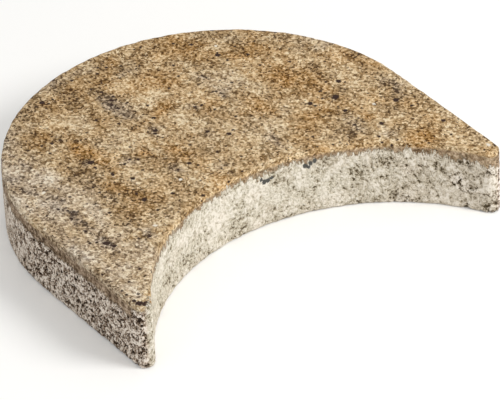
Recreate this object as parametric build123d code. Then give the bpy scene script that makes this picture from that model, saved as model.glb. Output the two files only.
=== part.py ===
from build123d import *
import os

# Garden edging stone, pressed from concrete in one piece. Seen from above it has
# a half-round back, straight sides and a round recess between two rounded tips.
# The recess takes the back of the next stone, so that a row of them can follow a
# straight or a curved lawn edge.
# X runs from side to side, +Y to the back and +Z up. The origin is the centre of
# the half-round back, on the underside. Lengths are in millimetres.

# Driving dimensions
overall_width = 266.0  # from side to side, and so the diameter of the half-round back
laying_pitch = 170.0  # from one stone to the next in a straight row
nest_joint = 5.0  # even joint between the recess and the stone that nests in it
thickness = 45.0  # from the underside to the top face
tip_radius = 6.0  # round nose of each tip, between the side and the recess
top_edge_radius = 1.0  # softened edge all round the top face

# The recess is as round as its neighbour's back, one joint larger, and its centre
# is where that back's centre lies in a straight row.
back_radius = overall_width / 2
recess_radius = back_radius + nest_joint


def plan_outline():
    """The stone's outline as seen from above."""
    with BuildSketch() as plan:
        Circle(back_radius)
        Rectangle(overall_width, laying_pitch, align=(Align.CENTER, Align.MAX))
        with Locations((0, -laying_pitch)):
            Circle(recess_radius, mode=Mode.SUBTRACT)
        sharp_tips = plan.vertices().group_by(Axis.Y)[0]
        fillet(sharp_tips, tip_radius)
    return plan.sketch


def edging_stone():
    """The whole stone: its outline at full thickness, with a softened top edge."""
    with BuildPart() as stone:
        add(plan_outline())
        extrude(amount=thickness)
        top_face = stone.faces().sort_by(Axis.Z)[-1]
        fillet(top_face.edges(), top_edge_radius)
    return stone.part


os.makedirs("parts", exist_ok=True)
stone = edging_stone()
export_step(stone, "parts/edging_stone.step")
depth = stone.bounding_box().size.Y
print(f"edging_stone: {overall_width:.0f} x {depth:.1f} x {thickness:.0f} mm, "
      f"{stone.volume / 1e6:.3f} litres")
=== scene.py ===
import math

import bpy
from mathutils import Matrix, Vector


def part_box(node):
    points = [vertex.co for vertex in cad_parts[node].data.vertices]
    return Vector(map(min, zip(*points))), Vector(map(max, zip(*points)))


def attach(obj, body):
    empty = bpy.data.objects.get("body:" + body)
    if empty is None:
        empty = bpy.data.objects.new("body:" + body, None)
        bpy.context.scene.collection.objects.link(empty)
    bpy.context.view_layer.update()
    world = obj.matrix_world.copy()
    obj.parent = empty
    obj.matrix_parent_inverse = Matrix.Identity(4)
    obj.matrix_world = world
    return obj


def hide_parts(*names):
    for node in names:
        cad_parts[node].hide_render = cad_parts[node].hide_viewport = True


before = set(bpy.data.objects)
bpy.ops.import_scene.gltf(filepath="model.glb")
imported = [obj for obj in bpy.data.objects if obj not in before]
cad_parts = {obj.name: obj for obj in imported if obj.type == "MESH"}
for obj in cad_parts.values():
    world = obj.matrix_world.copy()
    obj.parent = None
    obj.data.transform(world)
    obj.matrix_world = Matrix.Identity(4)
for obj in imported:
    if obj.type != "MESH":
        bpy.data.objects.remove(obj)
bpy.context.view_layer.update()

# A garden edging stone of pressed concrete, seen from the front left. The stone is
# one casting: a stiff, pale backing mix with open pores, under about a centimetre of
# sandy face mix that was coloured in the hopper with streaks of rust, cream and grey.
MM = 0.001

# Where the stone's faces lie. X runs from side to side, Y to the half-round back and
# Z up, from the middle of the back's circle on the underside.
_, high_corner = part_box("edging_stone")
HALF_WIDTH = high_corner.x
THICKNESS = high_corner.z
LAYING_PITCH = 170 * MM
NEST_JOINT = 5 * MM
RECESS_RADIUS = HALF_WIDTH + NEST_JOINT

# How deep the face mix reaches below the top
FACE_MIX_ON_OUTER_WALLS = 10.3 * MM
FACE_MIX_IN_RECESS = 6.4 * MM

# How deep the relief goes into the stone
MOULD_GAP = 0.14 * MM
SAG = 0.15 * MM
PITS = 0.4 * MM
PORES_IN_PACKED_MIX = 0.35 * MM
PORES_IN_COARSE_MIX = 0.85 * MM

# Pigments of the face mix: how much lighter and how much warmer each makes the sand
PIGMENTS = {
    "rust": (-0.15, 1.15),
    "umber": (-0.3, 0.4),
    "sand": (0.25, 0.6),
    "cream": (0.45, 0.0),
    "chalk": (0.4, -1.1),
    "smoke": (-0.4, -1.1),
    "soot": (-0.8, -1.3),
}

# Streaks of pigment as they lie on the top: x and y of the middle, half width and half
# length, in mm. They run along the mould, from the back of the stone to the recess.
STREAKS = [
    ("rust", -81, 74, 14, 18), ("umber", -77, 88, 11, 12), ("rust", -66, 58, 8, 34),
    ("umber", -72, 48, 8, 12), ("rust", -74, 8, 9, 16), ("umber", -69, -14, 9, 26),
    ("rust", -38, 23, 8, 8), ("umber", -29, 8, 9, 12), ("rust", -23, 14, 8, 12),
    ("umber", -41, 109, 18, 13), ("rust", -3, 56, 11, 9), ("rust", 74, 78, 16, 18),
    ("umber", 80, 22, 12, 26), ("rust", 76, 38, 26, 40), ("rust", 44, 20, 13, 16),
    ("rust", 62, -8, 15, 18), ("umber", 58, 103, 15, 9), ("rust", 91, -29, 5, 7),
    ("umber", 113, -60, 14, 12), ("rust", 104, -66, 14, 11), ("umber", -75, -53, 12, 6),
    ("rust", -95, -44, 6, 8), ("sand", 101, -18, 8, 8), ("sand", -23, -27, 13, 8),
    ("sand", 27, 105, 18, 11), ("sand", 20, 76, 26, 24), ("sand", 60, 55, 12, 16),
    ("cream", -9, 94, 14, 12), ("cream", 1, 74, 16, 18), ("cream", 3, 38, 12, 16),
    ("cream", -58, 86, 11, 11), ("cream", 22, -14, 13, 16), ("cream", 100, 44, 10, 8),
    ("cream", 117, 63, 12, 11), ("cream", -55, 5, 10, 12), ("chalk", 90, -47, 11, 18),
    ("chalk", -128, 24, 12, 28), ("chalk", -127, -38, 11, 20), ("chalk", -101, 38, 12, 16),
    ("chalk", -115, 60, 8, 9), ("chalk", -96, -8, 10, 22), ("chalk", -119, -66, 10, 14),
    ("smoke", -24, 68, 8, 24), ("smoke", -20, 41, 7, 9), ("smoke", 4, 106, 9, 15),
    ("smoke", -53, 24, 9, 9), ("smoke", -35, -2, 8, 9), ("smoke", -13, -15, 9, 7),
    ("smoke", 14, 48, 8, 10), ("smoke", 35, 47, 9, 8), ("smoke", 34, 72, 7, 8),
    ("smoke", 79, -33, 7, 14), ("smoke", 122, -10, 7, 24), ("smoke", 114, 53, 8, 6),
    ("smoke", -104, 57, 8, 8), ("smoke", -118, 50, 9, 10), ("smoke", -115, 26, 5, 26),
    ("smoke", -85, -47, 8, 8), ("chalk", -124, -90, 8, 12), ("smoke", 32, -13, 5, 12),
    ("smoke", -24, 122, 30, 9), ("soot", -24, 88, 8, 18), ("soot", -110, -3, 4, 30),
    ("soot", -110, -40, 7, 12), ("soot", -72, 38, 5, 6), ("soot", 86, 4, 6, 9),
    ("umber", -30, 104, 70, 26), ("umber", 45, 104, 50, 22), ("umber", -78, 10, 24, 60),
    ("rust", -120, -103, 6, 6), ("rust", -119, -101, 6, 7), ("rust", -120, -103, 5, 5),
]

# The biggest black grains on the top: x, y and radius, in mm
BLACK_GRAINS = [
    (-57, 109, 2.4), (-29, 118, 1.6), (-22, 84, 2.0), (-25, 80, 1.9), (-19, 87, 1.6),
    (-26, 92, 1.5), (-16, 76, 1.6), (-22, 96, 1.4), (-28, 85, 1.3), (-24, 75, 1.4),
    (44, 113, 1.5), (52, 105, 1.9), (58, 85, 2.6), (73, 74, 1.6), (37, 72, 1.5),
    (47, 54, 1.5), (-70, 36, 2.8), (-77, 68, 1.6), (-13, 52, 2.2), (-20, 40, 2.2),
    (-22, 37, 1.6), (14, 46, 1.8), (18, 45, 1.6), (32, 53, 1.6), (27, 22, 1.5),
    (4, 19, 2.0), (13, 9, 2.4), (-24, -2, 2.2), (-67, -17, 2.4), (-60, 6, 2.0),
    (-67, 17, 1.7), (-55, 22, 1.7), (-50, 24, 1.5), (71, 5, 2.2), (87, 1, 3.2),
    (83, -15, 2.2), (99, 14, 2.6), (84, 12, 1.7), (114, -25, 2.8), (118, -36, 1.7),
    (92, -40, 2.2), (123, -61, 2.0), (78, -31, 1.7), (82, -50, 1.6), (-37, -35, 2.0),
    (-50, -22, 1.7), (-110, -40, 3.0), (-113, -22, 1.8), (-112, -6, 1.7), (-91, -15, 1.5),
    (-86, -50, 1.7), (-129, -102, 3.4), (-126, -105, 3.6), (-130, -98, 2.0),
    (-108, -45, 1.8), (-114, -36, 1.7), (-124, -94, 1.4),
]

# Slate chips high on the recess wall, and white chips: x, y, z and radius, in mm
SLATE_CHIPS = [
    (7.5, -32.2, 34.8, 1.9), (9.5, -32.3, 32.6, 2.4), (12, -32.5, 32.6, 2.0),
    (14.5, -32.8, 33.8, 1.8), (36.5, -36.9, 34.8, 2.3), (38.5, -37.5, 33.8, 1.8),
    (39.8, -37.9, 36.2, 2.1), (42.5, -38.7, 37.2, 1.9),
]
WHITE_CHIPS = [
    (-110, 27, 45, 1.6), (-38, -13, 45, 1.4), (-77, -43, 45, 1.9), (128, -99, 45, 1.8),
    (63, 94, 45, 1.3), (101, -20, 45, 1.4), (-13, -32, 21, 1.7), (2.5, -32, 36, 1.6),
]


def linear(hex_colour):
    """An sRGB hex colour as linear RGBA."""
    channels = [int(hex_colour[i:i + 2], 16) / 255 for i in (1, 3, 5)]
    return [c / 12.92 if c <= 0.04045 else ((c + 0.055) / 1.055) ** 2.4 for c in channels] + [1.0]


def add(tree, kind, inputs=(), out=0, stops=(), **settings):
    """Add a node, and return one of its outputs. Inputs go by name or in order, and
    stops are the places and hex colours of a colour ramp."""
    node = tree.nodes.new(kind)
    for name, value in settings.items():
        setattr(node, name, value)
    for key, value in inputs.items() if isinstance(inputs, dict) else enumerate(inputs):
        if isinstance(key, int):
            socket = node.inputs[key]
        else:
            socket = next(s for s in node.inputs if key in (s.identifier, s.name))
        if isinstance(value, bpy.types.NodeSocket):
            tree.links.new(value, socket)
        else:
            socket.default_value = value
    if stops:
        ramp = node.color_ramp.elements
        ramp[0].position = stops[0][0]
        ramp[-1].position = stops[-1][0]
        for position, _ in stops[1:-1]:
            ramp.new(position)
        for stop, (_, hex_colour) in zip(ramp, stops):
            stop.color = linear(hex_colour)
    if not node.outputs:
        return node
    if isinstance(out, str):
        return next(s for s in node.outputs if out in (s.identifier, s.name))
    return node.outputs[out]


def per(size_mm):
    """The scale of a texture whose features are that many millimetres apart."""
    return 1 / (size_mm * MM)


def past_recess(tree, place):
    """How far a place lies from the recess wall, in metres."""
    from_middle = add(tree, "ShaderNodeVectorMath", [place, (0, LAYING_PITCH, 0)])
    flat = add(tree, "ShaderNodeVectorMath", [from_middle, (1, 1, 0)], operation="MULTIPLY")
    radius = add(tree, "ShaderNodeVectorMath", [flat], "Value", operation="LENGTH")
    return add(tree, "ShaderNodeMath", [radius, RECESS_RADIUS], operation="SUBTRACT")


def in_recess(tree, place):
    """1 on the recess wall, 0 on the outer walls."""
    return add(tree, "ShaderNodeMapRange", [past_recess(tree, place), 6 * MM, 2.5 * MM])


def in_face_mix(tree, place):
    """1 in the face mix, 0 in the backing mix below it. Their border is ragged, and in
    the recess the plunger has drawn it out into upright teeth."""
    split = add(tree, "ShaderNodeSeparateXYZ", [place])
    x = split.node.outputs["X"]
    z = split.node.outputs["Z"]
    recess = in_recess(tree, place)
    layer = add(tree, "ShaderNodeMapRange", [
        recess, 0, 1, FACE_MIX_ON_OUTER_WALLS, FACE_MIX_IN_RECESS])
    right_tip = add(tree, "ShaderNodeMapRange", [x, 95 * MM, 130 * MM, 0, 3.5 * MM])
    layer = add(tree, "ShaderNodeMath", [layer, right_tip])
    left_nose = (-127 * MM, -106 * MM, THICKNESS)
    left_tip = add(tree, "ShaderNodeVectorMath", [place, left_nose], "Value",
                   operation="DISTANCE")
    left_tip = add(tree, "ShaderNodeMapRange", [left_tip, 9 * MM, 15 * MM, -6.5 * MM, 0])
    layer = add(tree, "ShaderNodeMath", [layer, left_tip])
    upright = add(tree, "ShaderNodeVectorMath", [place, (1, 1, 0.3)], operation="MULTIPLY")
    ragged = add(tree, "ShaderNodeTexNoise", {
        "Vector": upright, "Scale": per(9.0), "Detail": 4.0, "Roughness": 1.0})
    ragged = add(tree, "ShaderNodeMath", [ragged, 0.5], operation="SUBTRACT")
    teeth = add(tree, "ShaderNodeMapRange", [recess, 0, 1, 13 * MM, 25 * MM])
    layer = add(tree, "ShaderNodeMath", [ragged, teeth, layer], operation="MULTIPLY_ADD")
    depth = add(tree, "ShaderNodeMath", [THICKNESS, z], operation="SUBTRACT")
    above = add(tree, "ShaderNodeMath", [layer, depth], operation="SUBTRACT")
    return add(tree, "ShaderNodeMapRange", [above, -0.9 * MM, 0.9 * MM])


def openness(tree, place):
    """How open the backing mix is: packed and smeared in the recess, and coarse on the
    outer walls, in patches, and towards the recess's right end and foot."""
    split = add(tree, "ShaderNodeSeparateXYZ", [place])
    x = split.node.outputs["X"]
    y = split.node.outputs["Y"]
    z = split.node.outputs["Z"]
    outer = add(tree, "ShaderNodeMapRange", [y, 5 * MM, 60 * MM, 1.0, 0.85])
    recess = add(tree, "ShaderNodeMapRange", [x, 50 * MM, 125 * MM, 0.0, 0.64])
    foot = add(tree, "ShaderNodeMapRange", [z, 18 * MM, 0, 0, 0.15])
    recess = add(tree, "ShaderNodeMath", [recess, foot])
    patchy = add(tree, "ShaderNodeTexNoise", {
        "Vector": place, "Scale": per(16.0), "Detail": 1.0, "Roughness": 0.5})
    patchy = add(tree, "ShaderNodeMapRange", [patchy, 0.5, 0.72, 0, 0.45])
    recess = add(tree, "ShaderNodeMath", [recess, patchy], use_clamp=True)
    return add(tree, "ShaderNodeMix", {
        "Factor_Float": in_recess(tree, place), "A_Float": outer, "B_Float": recess})


def backing_tone(tree, place):
    """The stiff backing mix, from -1 in a ragged pore to 1 on a smeared crumb of paste.
    Crumbs are 1 to 2 mm wide where it is packed and 2 to 4 mm where it is coarse."""
    packed = add(tree, "ShaderNodeTexNoise", {
        "Vector": place, "Scale": per(2.1), "Detail": 1.8, "Roughness": 1.0, "Distortion": 0.2})
    packed = add(tree, "ShaderNodeMapRange", [packed, 0, 1, -3.1, 3.6], clamp=False)
    coarse = add(tree, "ShaderNodeTexNoise", {
        "Vector": place, "Scale": per(3.8), "Detail": 2.8, "Roughness": 1.0, "Distortion": 0.2})
    coarse = add(tree, "ShaderNodeMapRange", [coarse, 0, 1, -9.0, 9.4], clamp=False)
    coarser = add(tree, "ShaderNodeMath", [openness(tree, place), 2.5], operation="POWER")
    crumbs = add(tree, "ShaderNodeMix", {
        "Factor_Float": coarser, "A_Float": packed, "B_Float": coarse})
    patches = add(tree, "ShaderNodeTexNoise", {
        "Vector": place, "Scale": per(20.0), "Detail": 3.0, "Roughness": 0.9})
    patches = add(tree, "ShaderNodeMapRange", [patches, 0, 1, -1.6, 1.6], clamp=False)
    contrast = add(tree, "ShaderNodeMapRange", [in_recess(tree, place), 0, 1, 0.8, 1.7])
    return add(tree, "ShaderNodeMath", [patches, contrast, crumbs], operation="MULTIPLY_ADD")


def relief(tree, place):
    """How far sag, pits and pores take the surface into the stone, in metres."""
    sag = add(tree, "ShaderNodeTexNoise", {
        "Vector": place, "Scale": per(24.0), "Detail": 2.0, "Roughness": 0.5})
    sag = add(tree, "ShaderNodeMapRange", [sag, 0.35, 0.65, 0, SAG])
    pits = add(tree, "ShaderNodeTexNoise", {
        "Vector": place, "Scale": per(3.0), "Detail": 3.0, "Roughness": 0.8})
    pits = add(tree, "ShaderNodeMapRange", [pits, 0.6, 0.36, 0, PITS])
    depth = add(tree, "ShaderNodeMath", [sag, pits])
    pores = add(tree, "ShaderNodeMapRange", [backing_tone(tree, place), -0.15, -0.85])
    backing = add(tree, "ShaderNodeMath", [1.0, in_face_mix(tree, place)], operation="SUBTRACT")
    pores = add(tree, "ShaderNodeMath", [pores, backing], operation="MULTIPLY")
    deepest = add(tree, "ShaderNodeMapRange", [
        openness(tree, place), 0, 1, PORES_IN_PACKED_MIX, PORES_IN_COARSE_MIX])
    return add(tree, "ShaderNodeMath", [pores, deepest, depth], operation="MULTIPLY_ADD")


def edge_wear(tree, place, soft_normal):
    """How far the edges have crumbled, in metres: most along the left side."""
    flatness = add(tree, "ShaderNodeVectorMath", [soft_normal], "Value", operation="LENGTH")
    edge = add(tree, "ShaderNodeMath", [1.0, flatness], operation="SUBTRACT")
    crumbs = add(tree, "ShaderNodeTexNoise", {
        "Vector": place, "Scale": per(6.0), "Detail": 4.0, "Roughness": 0.8})
    wear = add(tree, "ShaderNodeMapRange", [crumbs, 0.4, 0.6, 0.5 * MM, 3.4 * MM])
    x = add(tree, "ShaderNodeSeparateXYZ", [place], "X")
    left_side = add(tree, "ShaderNodeMapRange", [x, -118 * MM, -130 * MM, 1.0, 1.8])
    wear = add(tree, "ShaderNodeMath", [wear, left_side], operation="MULTIPLY")
    return add(tree, "ShaderNodeMath", [edge, wear], operation="MULTIPLY")


def press_relief():
    """Geometry nodes that press the grain, the pores and the worn edges into the stone.
    The material finds each place as it was in the mould in the attribute mould_place."""
    tree = bpy.data.node_groups.new("pressed_relief", "GeometryNodeTree")
    tree.interface.new_socket("Geometry", in_out="INPUT", socket_type="NodeSocketGeometry")
    tree.interface.new_socket("Geometry", in_out="OUTPUT", socket_type="NodeSocketGeometry")
    stone = tree.nodes.new("NodeGroupInput").outputs[0]
    place = add(tree, "GeometryNodeInputPosition")
    kept = add(tree, "GeometryNodeStoreNamedAttribute", {
        "Geometry": stone, "Name": "mould_place", "Value": place},
        data_type="FLOAT_VECTOR", domain="POINT")
    normal = add(tree, "GeometryNodeInputNormal")
    soft_normal = add(tree, "GeometryNodeBlurAttribute", {
        "Value": normal, "Iterations": 9}, data_type="FLOAT_VECTOR")
    wear = edge_wear(tree, place, soft_normal)
    depth = add(tree, "ShaderNodeMath", [relief(tree, place), wear])
    depth = add(tree, "ShaderNodeMath", [depth, MOULD_GAP])
    inward = add(tree, "ShaderNodeMath", [depth, -1.0], operation="MULTIPLY")
    outwards = add(tree, "ShaderNodeVectorMath", [soft_normal], operation="NORMALIZE")
    push = add(tree, "ShaderNodeVectorMath", {"Vector": outwards, "Scale": inward},
               operation="SCALE")
    moved = add(tree, "GeometryNodeSetPosition", {"Geometry": kept, "Offset": push})
    result = tree.nodes.new("NodeGroupOutput")
    tree.links.new(moved, result.inputs[0])
    return tree


def pressed_stone():
    """The stone as cast: a copy of the CAD solid with the relief of pressed concrete."""
    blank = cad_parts["edging_stone"]
    stone = bpy.data.objects.new("pressed_stone", blank.data.copy())
    bpy.context.scene.collection.objects.link(stone)
    bpy.ops.object.select_all(action="DESELECT")
    stone.select_set(True)
    bpy.context.view_layer.objects.active = stone
    bpy.ops.object.mode_set(mode="EDIT")
    bpy.ops.mesh.select_all(action="SELECT")
    bpy.ops.mesh.remove_doubles(threshold=0.001 * MM)
    bpy.ops.object.mode_set(mode="OBJECT")

    # A mesh fine enough for pits and pores of 1 to 2 mm
    fine = stone.modifiers.new("fine", "REMESH")
    fine.mode = "VOXEL"
    fine.voxel_size = 0.7 * MM
    fine.use_smooth_shade = True
    bpy.ops.object.modifier_apply(modifier=fine.name)

    pressed = stone.modifiers.new("pressed_relief", "NODES")
    pressed.node_group = press_relief()
    bpy.ops.object.modifier_apply(modifier=pressed.name)

    triangles_kept = 195000
    triangles = sum(len(face.vertices) - 2 for face in stone.data.polygons)
    thinned = stone.modifiers.new("thinned", "DECIMATE")
    thinned.ratio = triangles_kept / triangles
    bpy.ops.object.modifier_apply(modifier=thinned.name)
    bpy.ops.object.shade_smooth()
    return stone


def strewn(tree, place, marks):
    """Marks listed one by one, each with its middle and its reach along X, Y and Z in mm:
    yields the mark and a share that is 1 at its middle and 0 at its rim."""
    for mark, middle, reach in marks:
        spot = add(tree, "ShaderNodeMapping", {
            "Vector": place, "Location": Vector(middle) * MM, "Scale": Vector(reach) * MM},
            vector_type="TEXTURE")
        yield mark, add(tree, "ShaderNodeTexGradient", [spot], "Fac", gradient_type="SPHERICAL")


def wandering(tree, place, size_mm, reach_mm):
    """The place, moved about so that what is drawn there has a ragged outline."""
    noise = add(tree, "ShaderNodeTexNoise", {
        "Vector": place, "Scale": per(size_mm), "Detail": 3.0, "Roughness": 0.7}, "Color")
    centred = add(tree, "ShaderNodeVectorMath", [noise, (0.5, 0.5, 0.5)], operation="SUBTRACT")
    reach = 2 * reach_mm * MM
    return add(tree, "ShaderNodeVectorMath", [centred, (reach, reach, reach), place],
               operation="MULTIPLY_ADD")


def chips(tree, place, placed):
    """Crushed chips at listed places: 1 in a chip and 0 around it."""
    angular = wandering(tree, place, 1.6, 1.6)
    inside = 0.0
    marks = [(None, (x, y, z), (radius, radius, radius)) for x, y, z, radius in placed]
    for _, share in strewn(tree, angular, marks):
        inside = add(tree, "ShaderNodeMath", [inside, share], operation="MAXIMUM")
    return add(tree, "ShaderNodeMapRange", [inside, 0.2, 0.36])


def small_grains(tree, place, spacing_mm, share_of_cells):
    """Small grains strewn all through a mix, in drifts: 1 in a grain and 0 around it."""
    angular = wandering(tree, place, 1.2, 0.8)
    cells = add(tree, "ShaderNodeTexVoronoi", {"Vector": angular, "Scale": per(spacing_mm)})
    chance = add(tree, "ShaderNodeSeparateColor", [cells.node.outputs["Color"]])
    drifts = add(tree, "ShaderNodeTexNoise", {
        "Vector": place, "Scale": per(18.0), "Detail": 2.0, "Roughness": 0.7})
    fewest = 0.4 * share_of_cells
    most = 2.2 * share_of_cells
    share = add(tree, "ShaderNodeMapRange", [drifts, 0.4, 0.65, fewest, most])
    chosen = add(tree, "ShaderNodeMath", [chance, share], operation="LESS_THAN")
    grain = add(tree, "ShaderNodeMapRange", [cells, 0.32, 0.18])
    return add(tree, "ShaderNodeMath", [grain, chosen], operation="MULTIPLY")


def black_grains(tree, place):
    """Crushed black grains in the face mix: the biggest listed one by one, and the rest strewn.
    """
    top = THICKNESS / MM
    grains = chips(tree, place, [(x, y, top, radius) for x, y, radius in BLACK_GRAINS])
    for spacing_mm, share_of_cells in ((2.0, 0.14), (4.2, 0.11)):
        more = small_grains(tree, place, spacing_mm, share_of_cells)
        grains = add(tree, "ShaderNodeMath", [grains, more], operation="MAXIMUM")
    return grains


def sand_tone(tree, place, clouds_place):
    """How light the sand is, from -1 to 1: clouds of lighter and darker sand, clusters of
    grains 2 mm wide, and single crushed grains of 1.2 mm."""
    clouds = add(tree, "ShaderNodeTexNoise", {
        "Vector": clouds_place, "Scale": per(16.0), "Detail": 3.0, "Roughness": 0.9})
    clouds = add(tree, "ShaderNodeMapRange", [clouds, 0, 1, -1.6, 1.5], clamp=False)
    laid = add(tree, "ShaderNodeVectorMath", [place, (1, 0.85, 1)], operation="MULTIPLY")
    clusters = add(tree, "ShaderNodeTexNoise", {
        "Vector": laid, "Scale": per(2.2), "Detail": 2.0, "Roughness": 1.0})
    clusters = add(tree, "ShaderNodeMapRange", [clusters, 0, 1, -1.6, 1.6], clamp=False)
    grains = add(tree, "ShaderNodeTexVoronoi", {"Vector": laid, "Scale": per(1.2)}, "Color")
    grains = add(tree, "ShaderNodeSeparateColor", [grains])
    grains = add(tree, "ShaderNodeMapRange", [grains, 0, 1, -0.9, 0.9])
    tone = add(tree, "ShaderNodeMath", [clouds, clusters])
    return add(tree, "ShaderNodeMath", [tone, grains])


def mould_smear_and_painted_shade(tree, place, colour):
    """The colour, smoothed by the mould's walls and darker in a band below the stone's top
    edge: partly the mould's smear, partly painted shade on the wall under the edge.
    """
    z = add(tree, "ShaderNodeSeparateXYZ", [place], "Z")
    below = add(tree, "ShaderNodeMapRange", [z, THICKNESS - 2.8 * MM, THICKNESS - 4.6 * MM])
    outer = add(tree, "ShaderNodeMapRange", [in_recess(tree, place), 1, 0, 0.75, 1.0])
    smear_and_shade = add(tree, "ShaderNodeMath", [below, outer], operation="MULTIPLY")
    band_mottle = add(tree, "ShaderNodeTexNoise", {
        "Vector": place, "Scale": per(5.0), "Detail": 3.5, "Roughness": 1.0})
    # Dark browns of the band: painted shade on the wall below the top edge, with the mould's
    # smear
    band_mottle = add(tree, "ShaderNodeValToRGB", [band_mottle], stops=[
        (0.4, "#4b3826"), (0.47, "#826b53"), (0.53, "#9f886f"), (0.6, "#cdb69d")])
    return add(tree, "ShaderNodeMix", {
        "Factor_Float": smear_and_shade, "A_Color": colour, "B_Color": band_mottle},
        "Result_Color", data_type="RGBA")


def face_mix_colour(tree, place):
    """Sandy face mix: crushed sand of every tone from brown to cream, streaked with
    pigments, lighter and warmer along the recess, greyer at the left, and with black
    grains."""
    drawn = add(tree, "ShaderNodeVectorMath", [place, (1, 0.7, 1)], operation="MULTIPLY")
    tone = sand_tone(tree, place, drawn)
    tint = add(tree, "ShaderNodeTexNoise", {
        "Vector": drawn, "Scale": per(26.0), "Detail": 4.0, "Roughness": 0.7})
    tint = add(tree, "ShaderNodeMapRange", [tint, 0, 1, -2.1, 2.3], clamp=False)

    smeared = wandering(tree, place, 8.0, 11.0)
    top = THICKNESS / MM
    marks = [(pigment, (x, y, top), (half_width, half_length, 1.4 * half_length))
             for pigment, x, y, half_width, half_length in STREAKS]
    for pigment, share in strewn(tree, smeared, marks):
        lighter, warmer = PIGMENTS[pigment]
        tone = add(tree, "ShaderNodeMath", [share, lighter, tone], operation="MULTIPLY_ADD")
        tint = add(tree, "ShaderNodeMath", [share, warmer, tint], operation="MULTIPLY_ADD")

    x = add(tree, "ShaderNodeSeparateXYZ", [smeared], "X")
    greyer_side = add(tree, "ShaderNodeMapRange", [x, -65 * MM, -110 * MM, 0.15, -0.75])
    tint = add(tree, "ShaderNodeMath", [tint, greyer_side])
    rim = add(tree, "ShaderNodeMapRange", [past_recess(tree, smeared), 11 * MM, 2 * MM])
    tone = add(tree, "ShaderNodeMath", [rim, 0.18, tone], operation="MULTIPLY_ADD")
    tint = add(tree, "ShaderNodeMath", [rim, 0.2, tint], operation="MULTIPLY_ADD")

    where = add(tree, "ShaderNodeMapRange", [tone, -1.3, 1.3])
    colour = add(tree, "ShaderNodeValToRGB", [where], stops=[
        (0.0, "#4a3015"), (0.12, "#6c4f2c"), (0.24, "#8a6c45"), (0.39, "#aa8a60"),
        (0.5, "#bb9a71"), (0.61, "#cdad83"), (0.77, "#e1c49b"), (0.95, "#f3ddb8")])
    saturation = add(tree, "ShaderNodeMapRange", [tint, -2, 2, 0.58, 1.3])
    hue = add(tree, "ShaderNodeMapRange", [tint, 0, 2, 0.505, 0.49])
    colour = add(tree, "ShaderNodeHueSaturation", {
        "Color": colour, "Saturation": saturation, "Hue": hue})
    colour = add(tree, "ShaderNodeMix", {
        "Factor_Float": black_grains(tree, place), "A_Color": colour,
        "B_Color": linear("#39261d")}, "Result_Color", data_type="RGBA")
    return mould_smear_and_painted_shade(tree, place, colour)


def backing_mix_colour(tree, place):
    """Backing mix: pale cement paste, smeared smooth in the recess, and open, brown and
    full of dark pores where it is coarse. The pores' darkest browns are partly painted
    shade inside them."""
    recess = in_recess(tree, place)
    opened = openness(tree, place)
    # Slightly darker where the recess's mix is open: towards its right end, its foot and in
    # patches
    darker_where_open = add(tree, "ShaderNodeMath", [recess, opened], operation="MULTIPLY")
    tone = add(tree, "ShaderNodeMath", [darker_where_open, -0.05, backing_tone(tree, place)],
               operation="MULTIPLY_ADD")
    where = add(tree, "ShaderNodeMapRange", [tone, -1.3, 1.3])
    # The darkest stops are the pores: their dark brown is partly painted shade inside the pores
    packed = add(tree, "ShaderNodeValToRGB", [where], stops=[
        (0.0, "#564934"), (0.12, "#84775f"), (0.24, "#aca088"), (0.37, "#c9bfa9"),
        (0.5, "#d6ccb8"), (0.63, "#ddd4c1"), (0.8, "#e6decd"), (0.95, "#f0e8da")])
    coarse = add(tree, "ShaderNodeValToRGB", [where], stops=[
        (0.0, "#2c1e12"), (0.15, "#58432f"), (0.3, "#917862"), (0.45, "#bba38c"),
        (0.6, "#d2bda8"), (0.78, "#e7d5c2"), (0.96, "#f9eddf")])
    brown = add(tree, "ShaderNodeMapRange", [recess, 0, 1, 1.0, 0.4])
    brown = add(tree, "ShaderNodeMath", [brown, opened], operation="MULTIPLY")
    return add(tree, "ShaderNodeMix", {
        "Factor_Float": brown, "A_Color": packed, "B_Color": coarse},
        "Result_Color", data_type="RGBA")


def grit_and_pores(tree, place, face_mix):
    """The finest relief as a bump: grit of 1.1 mm all over, and the backing mix's pores,
    which the face mix has nearly closed."""
    grit = add(tree, "ShaderNodeTexNoise", {
        "Vector": place, "Scale": per(1.1), "Detail": 2.0, "Roughness": 0.8})
    height = add(tree, "ShaderNodeMath", [grit, 0.9 * MM], operation="MULTIPLY")
    pores = add(tree, "ShaderNodeMapRange", [backing_tone(tree, place), -1.1, 0.9, 0, 0.7 * MM])
    in_backing = add(tree, "ShaderNodeMapRange", [face_mix, 0, 1, 1.0, 0.35])
    height = add(tree, "ShaderNodeMath", [pores, in_backing, height], operation="MULTIPLY_ADD")
    return add(tree, "ShaderNodeBump", {"Height": height, "Distance": 1.0, "Strength": 1.0})


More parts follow.
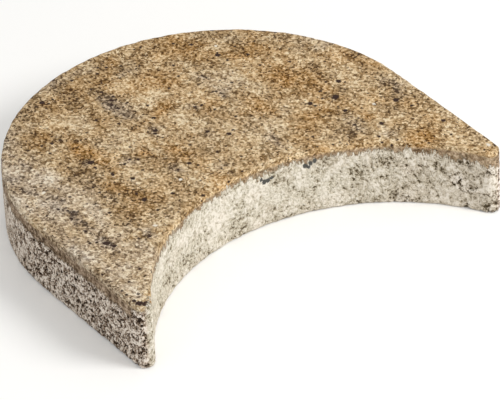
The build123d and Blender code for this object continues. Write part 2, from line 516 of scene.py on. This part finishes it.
def pressed_concrete():
    """Dry-pressed concrete: dull all over, because its sand and pores scatter the light."""
    material = bpy.data.materials.new("pressed_concrete")
    material.use_nodes = True
    tree = material.node_tree
    tree.nodes.clear()
    place = add(tree, "ShaderNodeAttribute", {}, "Vector", attribute_name="mould_place")
    face_mix = in_face_mix(tree, place)
    colour = add(tree, "ShaderNodeMix", {
        "Factor_Float": face_mix, "A_Color": backing_mix_colour(tree, place),
        "B_Color": face_mix_colour(tree, place)}, "Result_Color", data_type="RGBA")
    seam = add(tree, "ShaderNodeMath", [face_mix, 0.6, 0.35], operation="COMPARE")
    seam = add(tree, "ShaderNodeMath", [seam, 0.45], operation="MULTIPLY")
    colour = add(tree, "ShaderNodeMix", {
        "Factor_Float": seam, "A_Color": colour, "B_Color": linear("#6a5a3f")},
        "Result_Color", data_type="RGBA")
    for placed, hex_colour in ((SLATE_CHIPS, "#55544f"), (WHITE_CHIPS, "#eee5d4")):
        colour = add(tree, "ShaderNodeMix", {
            "Factor_Float": chips(tree, place, placed), "A_Color": colour,
            "B_Color": linear(hex_colour)}, "Result_Color", data_type="RGBA")
    shader = add(tree, "ShaderNodeBsdfPrincipled", {
        "Base Color": colour, "Roughness": 0.92, "IOR": 1.5, "Specular IOR Level": 0.3,
        "Normal": grit_and_pores(tree, place, face_mix)})
    add(tree, "ShaderNodeOutputMaterial", {"Surface": shader})
    return material


def pale_floor():
    """A plain pale floor that shows near white to the camera and keeps the shadow."""
    bpy.ops.mesh.primitive_plane_add(size=8.0, location=(0, 0, 0))
    floor = bpy.context.object
    floor.name = "floor"
    material = bpy.data.materials.new("pale_floor")
    material.use_nodes = True
    tree = material.node_tree
    tree.nodes.clear()
    rays = add(tree, "ShaderNodeLightPath", {}, "Is Camera Ray")
    lift = add(tree, "ShaderNodeMath", [rays, 0.12], operation="MULTIPLY")
    shader = add(tree, "ShaderNodeBsdfPrincipled", {
        "Base Color": linear("#f2f1ee"), "Roughness": 0.9,
        "Emission Color": [1, 1, 1, 1], "Emission Strength": lift})
    add(tree, "ShaderNodeOutputMaterial", {"Surface": shader})
    floor.data.materials.append(material)


def studio():
    """Soft studio light from the front right, with an even pale surround that is white
    to the camera."""
    surround = 0.69
    white = 1.0
    world = bpy.data.worlds.new("studio")
    bpy.context.scene.world = world
    world.use_nodes = True
    tree = world.node_tree
    tree.nodes.clear()
    rays = add(tree, "ShaderNodeLightPath", {}, "Is Camera Ray")
    strength = add(tree, "ShaderNodeMapRange", [rays, 0, 1, surround, white])
    light = add(tree, "ShaderNodeBackground", {"Color": [1, 1, 1, 1], "Strength": strength})
    add(tree, "ShaderNodeOutputWorld", {"Surface": light})

    softbox_distance = 1.6
    lamp = bpy.data.lights.new("softbox", "AREA")
    lamp.shape = "DISK"
    lamp.size = 0.7
    lamp.energy = 15.5
    softbox = bpy.data.objects.new("softbox", lamp)
    softbox.location = Vector((0.38, -0.66, 0.65)).normalized() * softbox_distance
    softbox.rotation_euler = softbox.location.to_track_quat("Z", "Y").to_euler()
    bpy.context.scene.collection.objects.link(softbox)


def photo_camera():
    """The camera, at the photograph's viewing angle."""
    azimuth = math.radians(-33.80)
    elevation = math.radians(34.65)
    roll = math.radians(-2.81)
    distance = 23.203 * HALF_WIDTH
    aim_right = -0.1223 * HALF_WIDTH
    aim_up = -0.0382 * HALF_WIDTH
    focal_length_px = 5066.7
    photo_width_px = 500
    back = Vector((math.sin(azimuth) * math.cos(elevation),
                   -math.cos(azimuth) * math.cos(elevation), math.sin(elevation)))
    level = Vector((math.cos(azimuth), math.sin(azimuth), 0))
    upright = back.cross(level)
    right = math.cos(roll) * level + math.sin(roll) * upright
    up = -math.sin(roll) * level + math.cos(roll) * upright
    lens = bpy.data.cameras.new("camera")
    lens.sensor_width = 36.0
    lens.lens = focal_length_px / photo_width_px * lens.sensor_width
    lens.clip_end = 20.0
    camera = bpy.data.objects.new("camera", lens)
    turn = Matrix((right, up, back)).transposed()
    camera.matrix_world = Matrix.Translation(
        back * distance - right * aim_right - up * aim_up) @ turn.to_4x4()
    bpy.context.scene.collection.objects.link(camera)
    bpy.context.scene.camera = camera


bpy.context.scene.view_settings.view_transform = "Standard"
stone = pressed_stone()
stone.data.materials.clear()
stone.data.materials.append(pressed_concrete())
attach(stone, "root")
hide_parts("edging_stone")
pale_floor()
studio()
photo_camera()
